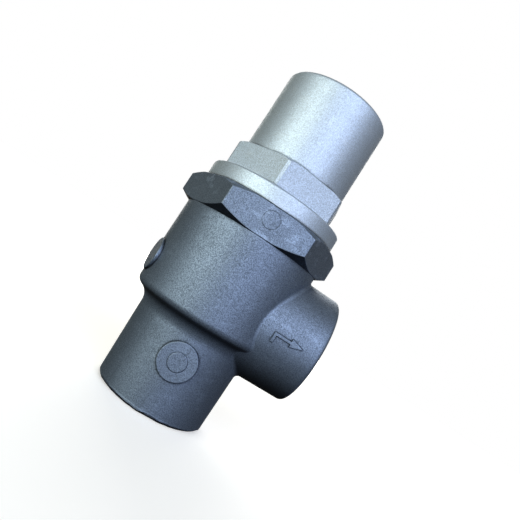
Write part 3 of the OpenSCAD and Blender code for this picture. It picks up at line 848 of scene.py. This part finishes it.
@dataclass(frozen=True)
class Casting:
    """The cast body's details: the fillet around the outlet branch, the flow arrow and the port threads."""

    neck_r: float = 23.0
    barrel_r: float = 29.8
    draft: float = math.tan(math.radians(1.4))
    shoulder_z: float = 40.1
    shoulder_r: float = 3.2
    hollow_r: float = 6.5
    outline_top: float = 90.0
    outlet_r: float = 22.75
    outlet_reach: float = 43.9
    shelf: float = 1.3
    fillet_r: float = 2.0
    fillet_top_r: float = 1.0
    top_from: float = 0.55
    top_over: float = 0.4
    port_r: float = 16.625
    port_pitch: float = 2.309
    inlet_thread_l: float = 17.4
    outlet_thread_l: float = 14.2
    mouth_chamfer: float = 0.8
    rim_r: float = 1.7
    arrow_back: float = 24.4
    arrow_foot: float = -3.5
    arrow_tip: float = 36.85
    arrow_neck: float = 31.4
    arrow_width: float = 1.15
    arrow_head: float = 3.3
    arrow_line: float = -0.15
    arrow_rise: float = 0.5
    arrow_slope: float = 0.22
    arrow_sink: float = 0.05

    @property
    def root_r(self) -> float:
        """Radius of the branch where its cone meets the valve axis."""
        return self.outlet_r + self.outlet_reach * self.draft

    @property
    def outlet_z(self) -> float:
        """Height of the branch's axis."""
        return node_levels("valve_body")[1] - self.shelf - self.root_r

    def offset_outline(self, offset: np.ndarray, height: np.ndarray) -> tuple:
        """Radius and slope of the casting's outline moved outwards.

        The outline is the drafted neck, the hollow, the shoulder's round and the barrel. Each point moves
        along its outward normal, and the curve that results is read at the wanted height.

        Args:
            offset: How far the outline moves, one value per point.
            height: Heights at which it is read.

        Returns:
            Radius, and the normal's radial and upward parts, at each height.
        """
        top_r = self.neck_r + (self.shoulder_z - self.hollow_r) * self.draft
        both = self.shoulder_r + self.hollow_r
        turn = math.acos(1 - (self.barrel_r - top_r) / both)
        hollow_z = self.shoulder_z - both * math.sin(turn)
        sweep = np.linspace(0, turn, 40)
        neck_z = np.linspace(0, hollow_z - 0.1, 20)
        barrel_z = np.linspace(self.shoulder_z + 0.1, self.outline_top, 20)
        radius = np.concatenate([self.neck_r + neck_z * self.draft,
                                 top_r + self.hollow_r * (1 - np.cos(sweep)),
                                 self.barrel_r - self.shoulder_r * (1 - np.cos(sweep[::-1])),
                                 np.full_like(barrel_z, self.barrel_r)])
        level = np.concatenate([neck_z, hollow_z + self.hollow_r * np.sin(sweep),
                                self.shoulder_z - self.shoulder_r * np.sin(sweep[::-1]), barrel_z])
        tilt = np.concatenate([np.full_like(neck_z, 0.0), sweep, sweep[::-1], np.full_like(barrel_z, 0.0)])
        out, drop = np.cos(tilt), np.sin(tilt)
        moved_r = radius[None] + offset[:, None] * out[None]
        moved_z = level[None] - offset[:, None] * drop[None]
        above = np.clip((moved_z < height[:, None]).sum(1, keepdims=True), 1, moved_z.shape[1] - 1)
        beside = np.concatenate([above - 1, above], 1)
        near_z, near_r = np.take_along_axis(moved_z, beside, 1), np.take_along_axis(moved_r, beside, 1)
        share = (height - near_z[:, 0]) / (near_z[:, 1] - near_z[:, 0])
        lean = tilt[beside[:, 0]] * (1 - share) + tilt[beside[:, 1]] * share
        return near_r[:, 0] * (1 - share) + near_r[:, 1] * share, np.cos(lean), -np.sin(lean)

    def build(self, shop: PaintShop) -> None:
        """Builds every detail of the casting.

        Args:
            shop: The paint shop.
        """
        self.build_fillet(shop)
        self.build_arrow(shop)
        self.build_rim(shop)
        self.build_thread(shop, "inlet_thread", self.inlet_thread_l, np.eye(3), np.zeros(3))
        sideways = np.array([[0, 1, 0], [0, 0, -1], [-1, 0, 0]], float)
        end = np.array([self.outlet_reach, 0, self.outlet_z])
        self.build_thread(shop, "outlet_thread", self.outlet_thread_l, sideways, end)

    def build_fillet(self, shop: PaintShop) -> None:
        """Builds the fillet between branch and body as a rolling ball's track.

        At each angle about the branch the ball touches the branch cone and the turned body: its centre is
        one ball radius outside both. The fillet is the ball's arc between the two touching points, closed by
        a point inside the metal.

        Args:
            shop: The paint shop.
        """
        around = np.linspace(0, TAU, 192, endpoint=False)
        near_top = eased(np.clip((np.cos(around) - self.top_from) / self.top_over, 0, 1))
        ball = self.fillet_r + (self.fillet_top_r - self.fillet_r) * near_top
        along = np.full_like(around, self.barrel_r)
        for _ in range(8):
            ring = self.root_r - along * self.draft + ball
            aside, up = ring * np.sin(around), self.outlet_z + ring * np.cos(around)
            wall, out, rise = self.offset_outline(ball, up)
            along = np.sqrt(np.maximum(wall ** 2 - aside ** 2, 1))
        centre = np.stack([along, aside, up], -1)
        to_branch = -np.stack([np.full_like(around, self.draft), np.sin(around), np.cos(around)], -1)
        to_body = -np.stack([out * along / wall, out * aside / wall, rise], -1)
        share = np.linspace(-0.04, 1.04, 9)[None, :, None]
        way = to_branch[:, None] * (1 - share) + to_body[:, None] * share
        way /= np.linalg.norm(way, axis=2, keepdims=True)
        arc = centre[:, None] + ball[:, None, None] * way
        middle = to_branch + to_body
        middle /= np.linalg.norm(middle, axis=1, keepdims=True)
        spread = np.clip((to_branch * to_body).sum(1, keepdims=True), -0.9, 1)
        root = centre + middle * ball[:, None] * (np.sqrt(2 / (1 + spread)) + 0.25)
        section = np.concatenate([arc, root[:, None]], 1)[:, ::-1]
        piece = make_piece("branch_fillet", [Sheet(section * MM, True, True)])
        dress_piece(shop, piece, Slot.CAST, "housing")

    def build_rim(self, shop: PaintShop) -> None:
        """Builds the uneven rest of the casting's flash on the outer edge of the inlet.

        It is a thin lip in the rounded edge. Its size around the edge is a sum of a few waves, each a sine of
        the angle, cut off at a small least size, so the lip shows in some places and is gone in others.

        Args:
            shop: The paint shop.
        """
        around = np.linspace(0, TAU, 720, endpoint=False)
        waves = np.array([3, 7, 13, 19, 31, 47])
        shifts = np.array([0.4, 2.1, 5.0, 1.2, 3.3, 0.9])
        sizes = np.array([0.14, 0.12, 0.09, 0.06, 0.04, 0.02])
        swell = (np.sin(around[:, None] * waves + shifts) * sizes).sum(1)
        size = np.clip(0.32 + swell, 0.02, 0.8) * self.rim_r
        edge = self.neck_r + self.draft * self.rim_r
        inner = self.rim_r + 0.35
        corners = ring_corners(around, [(edge - inner, 0.02), (edge - self.rim_r + size, 0.02),
                                        (edge + 0.02 * size, self.rim_r - size + 0.02), (edge - 0.05, inner),
                                        (edge - inner, inner)])
        outline = round_corners(corners, [0.05, 0.12, 0.12, 0.05, 0.05], steps=3)
        piece = make_piece("inlet_flash", [turned(outline, around)])
        dress_piece(shop, piece, Slot.CAST, "housing")

    def build_arrow(self, shop: PaintShop) -> None:
        """Builds the raised flow arrow as a relief on the branch.

        The relief's height follows the distance from the arrow's outline: full inside, with a short slope at
        the edge, and just under the cast surface outside. The arrow is drawn in distance along the branch and
        arc length around it.

        Args:
            shop: The paint shop.
        """
        half = self.arrow_width / 2
        line, barb = self.arrow_line, self.arrow_head / 2
        outline = np.array([
            (self.arrow_back, self.arrow_foot), (self.arrow_back + self.arrow_width, self.arrow_foot),
            (self.arrow_back + self.arrow_width, line - half), (self.arrow_neck, line - half),
            (self.arrow_neck, line - barb), (self.arrow_tip, line), (self.arrow_neck, line + barb),
            (self.arrow_neck, line + half), (self.arrow_back, line + half)])
        x, t = np.meshgrid(np.linspace(self.arrow_back - 0.6, self.arrow_tip + 0.6, 150),
                           np.linspace(self.arrow_foot - 0.6, line + barb + 0.6, 84), indexing="ij")
        depth = outline_depth(outline, np.stack([x, t], -1))
        slope = eased(np.clip(depth / self.arrow_slope + 0.5, 0, 1))
        height = -self.arrow_sink + (self.arrow_rise + self.arrow_sink) * slope
        under = -self.arrow_sink - 0.25 * (x > x.min()) * (x < x.max()) * (t > t.min()) * (t < t.max())
        sheets = [Sheet(self.on_branch(x, t, height)), Sheet(self.on_branch(x, t, under)[::-1])]
        piece = make_piece("flow_arrow", sheets)
        dress_piece(shop, piece, Slot.CAST, "housing")

    def on_branch(self, x: np.ndarray, t: np.ndarray, height: np.ndarray) -> np.ndarray:
        """Points on the side of the branch that faces -Y.

        Args:
            x: Distance along the branch from the valve axis.
            t: Arc length around the branch, upwards from its middle.
            height: Height above the cast surface.

        Returns:
            Points in metres.
        """
        ring = self.root_r - x * self.draft
        turn = t / ring
        reach = ring + height
        return np.stack([x, -reach * np.cos(turn), self.outlet_z + reach * np.sin(turn)], -1) * MM

    def build_thread(self, shop: PaintShop, name: str, depth: float, axes: np.ndarray, face: np.ndarray) -> None:
        """Builds a port's pipe thread as one ridge carried along a helix.

        The ridge's section has 55 degree flanks and a rounded crest. Where the mouth's chamfer cone is wider
        than the section, the cone is followed, so the first turns are cut as on the real part.

        Args:
            shop: The paint shop.
            name: The piece's name.
            depth: Depth of the last full turn below the face.
            axes: Rows are the port's two cross directions and the direction into the port.
            face: Centre of the port's face.
        """
        pitch = self.port_pitch
        ridge = pitch * PIPE_THREAD_DEPTH
        turns = (depth - 0.2) / pitch
        turn = np.linspace(0, turns * TAU, int(turns * 72))
        offset = np.array([-0.5, -0.44, -0.36, -0.12, -0.05, 0.05, 0.12, 0.36, 0.44, 0.5]) * pitch
        rise = np.array([-0.3, 0.0, 0.06, 0.9, 1.0, 1.0, 0.9, 0.06, 0.0, -0.3]) * ridge
        lead = np.clip(np.minimum(turn, turn[-1] - turn) / (0.75 * TAU), 0, 1)
        radius = self.port_r - rise[None] * lead[:, None] + 0.3 * (1 - lead[:, None])
        level = 0.2 + turn[:, None] / TAU * pitch + offset[None]
        radius = np.maximum(radius, self.port_r + self.mouth_chamfer - level)
        level = np.maximum(level, 0.15)
        local = around_axis(radius, turn[:, None], level)
        piece = make_piece(name, [Sheet((local @ axes + face) * MM, close_columns=True)])
        dress_piece(shop, piece, Slot.CAST, "housing")


def outline_depth(outline: np.ndarray, points: np.ndarray) -> np.ndarray:
    """Signed distance from a closed outline, positive inside.

    The distance is the smallest to any edge; a point is inside when a ray from it crosses an odd number of
    edges.

    Args:
        outline: Corners of shape (n, 2).
        points: Points of shape (..., 2).

    Returns:
        The distance of each point.
    """
    start, end = outline, np.roll(outline, -1, axis=0)
    edge = end - start
    gap = points[..., None, :] - start
    share = np.clip((gap * edge).sum(-1) / (edge * edge).sum(-1), 0, 1)
    distance = np.linalg.norm(gap - share[..., None] * edge, axis=-1).min(-1)
    x, y = points[..., None, 0], points[..., None, 1]
    straddles = (start[:, 1] > y) != (end[:, 1] > y)
    slope = np.where(edge[:, 1] == 0, 1, edge[:, 1])
    crossing = start[:, 0] + (y - start[:, 1]) / slope * edge[:, 0]
    inside = (straddles & (x < crossing)).sum(-1) % 2 == 1
    return np.where(inside, distance, -distance)


@dataclass(frozen=True)
class Adjuster:
    """The adjusting screw with its thread and socket, and its lock nut."""

    screw_r: float = 5.0
    pitch: float = 1.5
    end_bevel: float = 1.0
    socket: Hexagon = Hexagon(5.0, 0.0, 0.15)
    socket_depth: float = 6.0
    nut: Hexagon = Hexagon(16.0, 0.0, 0.25)
    nut_bore_r: float = 5.05
    nut_bore_bevel: float = 0.5
    core_bevel: float = 0.4
    socket_bevel: float = 0.25
    socket_bevel_h: float = 0.35
    socket_cone: float = 1.2

    def build(self, shop: PaintShop) -> None:
        """Builds the screw and the nut.

        Args:
            shop: The paint shop.
        """
        self.build_screw(shop)
        self.build_nut(shop)

    def build_screw(self, shop: PaintShop) -> None:
        """Builds the screw: a core with a hexagon socket, and one ridge carried along a helix around it.

        Args:
            shop: The paint shop.
        """
        tip, top = node_levels("adjusting_screw")
        depth = self.pitch * METRIC_THREAD_DEPTH
        root = self.screw_r - depth
        angles = self.socket.angles()
        hollow = self.socket.radius(angles)
        floor = top - self.socket_depth
        bevel = self.core_bevel
        outline = ring_corners(angles, [
            (0.0, tip), (root - bevel, tip), (root, tip + bevel), (root, top - bevel), (root - bevel, top),
            (hollow + self.socket_bevel, top), (hollow, top - self.socket_bevel_h), (hollow, floor),
            (0.0, floor - self.socket_cone)])
        core = turned(outline, angles, close_columns=False)
        turns = (top - tip - 0.5) / self.pitch
        turn = np.linspace(0, turns * TAU, int(turns * 40))
        offset = np.array([-0.5, -0.44, -0.08, 0.08, 0.44, 0.5]) * self.pitch
        rise = np.array([-0.3, 0.0, 1.0, 1.0, 0.0, -0.3]) * depth
        level = tip + 0.25 + turn[:, None] / TAU * self.pitch + offset[None]
        radius = root + rise[None] + 0 * turn[:, None]
        end = self.screw_r - self.end_bevel
        radius = np.minimum(radius, np.minimum(end + level - tip, end + top - level))
        radius[[0, -1]] = root - 0.3
        level = np.clip(level, tip + 0.02, top - 0.02)
        level[[0, -1]] = level[[0, -1]].mean(1, keepdims=True)
        ridge = around_axis(radius, turn[:, None], level)
        sheets = [core, Sheet(ridge * MM, close_columns=True)]
        piece = make_piece("threaded_screw", sheets, sharp_deg=40)
        dress_piece(shop, piece, Slot.STEEL, "screw", "adjusting_screw")

    def build_nut(self, shop: PaintShop) -> None:
        """Builds the nut with bevelled corners and a chamfered bore.

        Args:
            shop: The paint shop.
        """
        low, high = node_levels("lock_nut")
        angles = self.nut.angles()
        radius = self.nut.radius(angles)
        under = Bevel(self.nut.flats / 2 + 0.3, low, upward=False, least=0.1).corners(radius)
        over = Bevel(self.nut.flats / 2 - 0.4, high, upward=True, least=0.1).corners(radius)
        corners = [(self.nut_bore_r, low), under[1], under[0], over[0], over[1],
                   (self.nut_bore_r + self.nut_bore_bevel, high), (self.nut_bore_r, high - self.nut_bore_bevel)]
        outline = round_corners(ring_corners(angles, corners), [0.1, 0.1, 0.12, 0.12, 0.12, 0.1, 0.1])
        piece = make_piece("bevelled_lock_nut", [turned(outline, angles)])
        dress_piece(shop, piece, Slot.ZINC, "nut", "lock_nut")


@dataclass(frozen=True)
class Spring:
    """A wire coil with closed ends that are ground flat."""

    node: str
    mean_r: float
    wire_r: float
    turns: float
    sides: int = 16
    steps: int = 48
    end_rise: float = 0.65
    closed_rise: float = 2.05

    @property
    def whole(self) -> float:
        """All turns, the two closed ones among them."""
        return self.turns + 2

    def height(self, turn: "float | np.ndarray") -> "float | np.ndarray":
        """Height of the wire's middle at a turn.

        It rises by a little over one wire in the first and the last turn, and evenly between them.

        Args:
            turn: Turns from the lower end.

        Returns:
            The height in millimetres.
        """
        low, high = node_levels(self.node)
        first = low + self.end_rise * self.wire_r
        last = high - self.end_rise * self.wire_r
        closed = self.closed_rise * self.wire_r
        return np.interp(turn, [0, 1, self.turns + 1, self.whole], [first, first + closed, last - closed, last])

    def build(self, name: str, start: float, end: float) -> bpy.types.Object:
        """Carries the wire's round section along a stretch of the coil.

        Points past the coil's end faces are brought back to them, which grinds the ends flat. Each end of the
        stretch is closed by a point.

        Args:
            name: The piece's name.
            start: First turn of the stretch.
            end: Last turn of the stretch.

        Returns:
            The stretch of wire.
        """
        low, high = node_levels(self.node)
        turn = np.linspace(start, end, int((end - start) * self.steps) + 1)
        rise = self.height(turn)
        around = np.linspace(0, TAU, self.sides, endpoint=False)[None]
        radius = self.mean_r + self.wire_r * np.cos(around) + 0 * turn[:, None]
        level = np.clip(rise[:, None] + self.wire_r * np.sin(around), low, high)
        tip = np.ones((1, self.sides))
        radius = np.concatenate([tip * self.mean_r, radius, tip * self.mean_r])
        level = np.concatenate([tip * rise[0], level, tip * rise[-1]])
        angle = TAU * np.concatenate([turn[:1], turn, turn[-1:]])[:, None]
        points = around_axis(radius, angle, level) * MM
        return make_piece(name, [Sheet(points, close_columns=True)], sharp_deg=70)


@dataclass(frozen=True)
class Stretch:
    """A stretch of a spring, from one turn to another, with the names of the body below it and the body above it.
    """

    name: str
    start: float
    end: float
    below: str
    above: str


@dataclass(frozen=True)
class Springs:
    """The main spring, in three stretches that name the bodies at their ends, and the check spring."""

    main: Spring = Spring("main_spring", 13.5, 1.6, 5)
    check: Spring = Spring("check_spring", 12.3, 0.5, 3)
    stretches: tuple = (
        Stretch("main_spring_foot", 0.0, 2.63, "piston", "disc"),
        Stretch("main_spring_middle", 2.63, 4.74, "disc", "housing"),
        Stretch("main_spring_head", 4.74, 7.0, "housing", "plate"),
    )

    def build(self, shop: PaintShop) -> None:
        """Builds both springs, the main one in its three stretches.

        Args:
            shop: The paint shop.
        """
        for stretch in self.stretches:
            self.build_stretch(shop, self.main, stretch)
        self.build_stretch(shop, self.check, Stretch("coiled_check_spring", 0.0, 5.0, "disc", "piston"))

    def build_stretch(self, shop: PaintShop, spring: Spring, stretch: Stretch) -> None:
        """Builds one stretch, dresses it and hides the spring's CAD node.
        The heights clear of its cut ends and closed turns are worked out but not used.

        Args:
            shop: The paint shop.
            spring: The spring.
            stretch: The stretch.
        """
        piece = spring.build(stretch.name, stretch.start, stretch.end)
        shop.dress(piece, Slot.SPRING)
        cut_end = spring.wire_r
        coil_end = 0.3 * spring.wire_r
        low = spring.height(max(stretch.start, 1.0)) + (cut_end if stretch.start > 0 else coil_end)
        high = spring.height(min(stretch.end, spring.turns + 1))
        high -= cut_end if stretch.end < spring.whole else coil_end
        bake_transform(piece)
        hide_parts(spring.node)
        log.info("%s bends between %s and %s", piece.name, stretch.below, stretch.above)


@dataclass(frozen=True)
class Lamp:
    """A soft square lamp: metres to the camera's right, up and towards it, edge, watts and colour."""

    name: str
    right: float
    up: float
    near: float
    size: float
    power: float
    tone: tuple


@dataclass(frozen=True)
class Studio:
    """The camera at the photograph's angle, the pale floor, the dim room and the soft lamps."""

    eye: tuple = (-4.5215, -197.4848, 56.5527)
    target: tuple = (7.2782, 0.0, 69.6607)
    roll_deg: float = 32.69
    lens: float = 33.766
    floor_size: float = 6.0
    floor_gap: float = 0.0002
    floor_glow: float = 0.46
    glow_from: float = 0.08
    glow_to: float = 0.7
    floor_tone: tuple = (0.86, 0.86, 0.86, 1.0)
    floor_bounce: tuple = (0.012, 0.012, 0.012, 1.0)
    ambient: float = 0.095
    ambient_tone: tuple = (1.0, 0.93, 0.66)
    mirror_level: float = 0.085
    lamps: tuple = (
        Lamp("key_lamp", -0.44, 0.46, 0.78, 0.72, 9.6, (0.94, 0.98, 0.82)),
        Lamp("side_lamp", 0.56, 0.10, 0.83, 0.95, 8.9, (0.75, 0.82, 1.0)),
        Lamp("back_lamp", 0.06, 0.30, -1.0, 1.0, 11.0, (1.0, 0.97, 0.88)),
    )
    aim: tuple = (8.0, 0.0, 70.0)

    def axes(self) -> np.ndarray:
        """The camera's right, up and back directions as rows.

        Returns:
            A 3 by 3 array.
        """
        forward = np.array(self.target) - np.array(self.eye)
        forward /= np.linalg.norm(forward)
        level = np.cross(forward, [0, 0, 1])
        level /= np.linalg.norm(level)
        rise = np.cross(level, forward)
        roll = math.radians(self.roll_deg)
        right = math.cos(roll) * level + math.sin(roll) * rise
        return np.stack([right, np.cross(right, forward), -forward])

    def build(self) -> None:
        """Builds the camera, the floor, the world and the lamps."""
        self.build_camera()
        self.build_floor()
        self.build_world()
        for lamp in self.lamps:
            self.build_lamp(lamp)
        bpy.context.scene.view_settings.view_transform = "Standard"

    def build_camera(self) -> None:
        """Puts the camera where the photograph's outline says it stood."""
        data = bpy.data.cameras.new("photo_camera")
        data.lens = self.lens
        data.sensor_width = 36.0
        data.clip_start = 0.01
        camera = bpy.data.objects.new("photo_camera", data)
        placed = Matrix(self.axes().T.tolist()).to_4x4()
        placed.translation = Vector(self.eye) * MM
        camera.matrix_world = placed
        bpy.context.scene.collection.objects.link(camera)
        bpy.context.scene.camera = camera

    def build_floor(self) -> None:
        """Builds the pale floor, which turns white to the camera where no shadow falls."""
        half = self.floor_size / 2
        corner = np.array([[-half, -half, 0], [half, -half, 0], [-half, half, 0], [half, half, 0]])
        corner[:, 2] = -self.floor_gap
        floor = make_piece("floor", [Sheet(corner.reshape(2, 2, 3).transpose(1, 0, 2))])
        paint = Paint("floor_paint")
        sees = paint.node("ShaderNodeLightPath", {}, {}, "Is Camera Ray")
        paint.feed(paint.shader.inputs["Base Color"], paint.mix(sees, self.floor_bounce, self.floor_tone))
        paint.feed(paint.shader.inputs["Roughness"], 0.9)
        away = paint.node("ShaderNodeVectorMath", {"operation": "LENGTH"}, {0: paint.place()}, "Value")
        level = self.floor_glow + (1 - self.floor_glow) * paint.ramp(away, self.glow_from, self.glow_to)
        glow = paint.node("ShaderNodeEmission", {}, {"Strength": sees * level}, "Emission")
        both = paint.node("ShaderNodeAddShader", {}, {0: glow, 1: Signal(paint, paint.shader.outputs["BSDF"])})
        paint.feed(paint.output.inputs["Surface"], both)
        floor.data.materials.append(paint.material)

    def build_world(self) -> None:
        """Sets a room that the camera and glass see as white, and metal as dim and a little warm.

        The photograph's metal has dark edges, so the shine gets only a part of the white.
        """
        world = bpy.data.worlds.new("soft_room")
        world.use_nodes = True
        bpy.context.scene.world = world
        wiring = Wiring(world.node_tree)
        rays = {ray: wiring.node("ShaderNodeLightPath", {}, {}, f"Is {ray} Ray")
                for ray in ("Camera", "Transmission", "Glossy")}
        clear = rays["Camera"].larger(rays["Transmission"])
        seen = clear.larger(rays["Glossy"] * self.mirror_level)
        room = wiring.tree.nodes["Background"].inputs
        wiring.feed(room["Strength"], self.ambient + (1 - self.ambient) * seen)
        wiring.feed(room["Color"], wiring.mix(clear, (*self.ambient_tone, 1.0), WHITE))

    def build_lamp(self, lamp: Lamp) -> None:
        """Builds one lamp and turns it to the valve.

        Args:
            lamp: The lamp's place, size, power and tone.
        """
        right, up, back = self.axes()
        aim = np.array(self.aim) * MM
        spot = aim + right * lamp.right + up * lamp.up + back * lamp.near
        data = bpy.data.lights.new(lamp.name, "AREA")
        data.size = lamp.size
        data.energy = lamp.power
        data.color = lamp.tone
        holder = bpy.data.objects.new(lamp.name, data)
        holder.location = spot
        holder.rotation_euler = Vector(aim - spot).to_track_quat("-Z", "Y").to_euler()
        holder.visible_camera = False
        bpy.context.scene.collection.objects.link(holder)


def write_sizes() -> None:
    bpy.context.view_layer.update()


def main() -> None:
    """Builds the studio and every sub-assembly."""
    logging.basicConfig(level=logging.INFO, format="%(message)s")
    Studio().build()
    shop = PaintShop()
    shop.dress_nodes(frame["record"])
    for part in (Casting(), HexagonRing(), Bonnet(), Adjuster(), Springs()):
        part.build(shop)
    write_sizes()


if __name__ == "__main__":
    main()
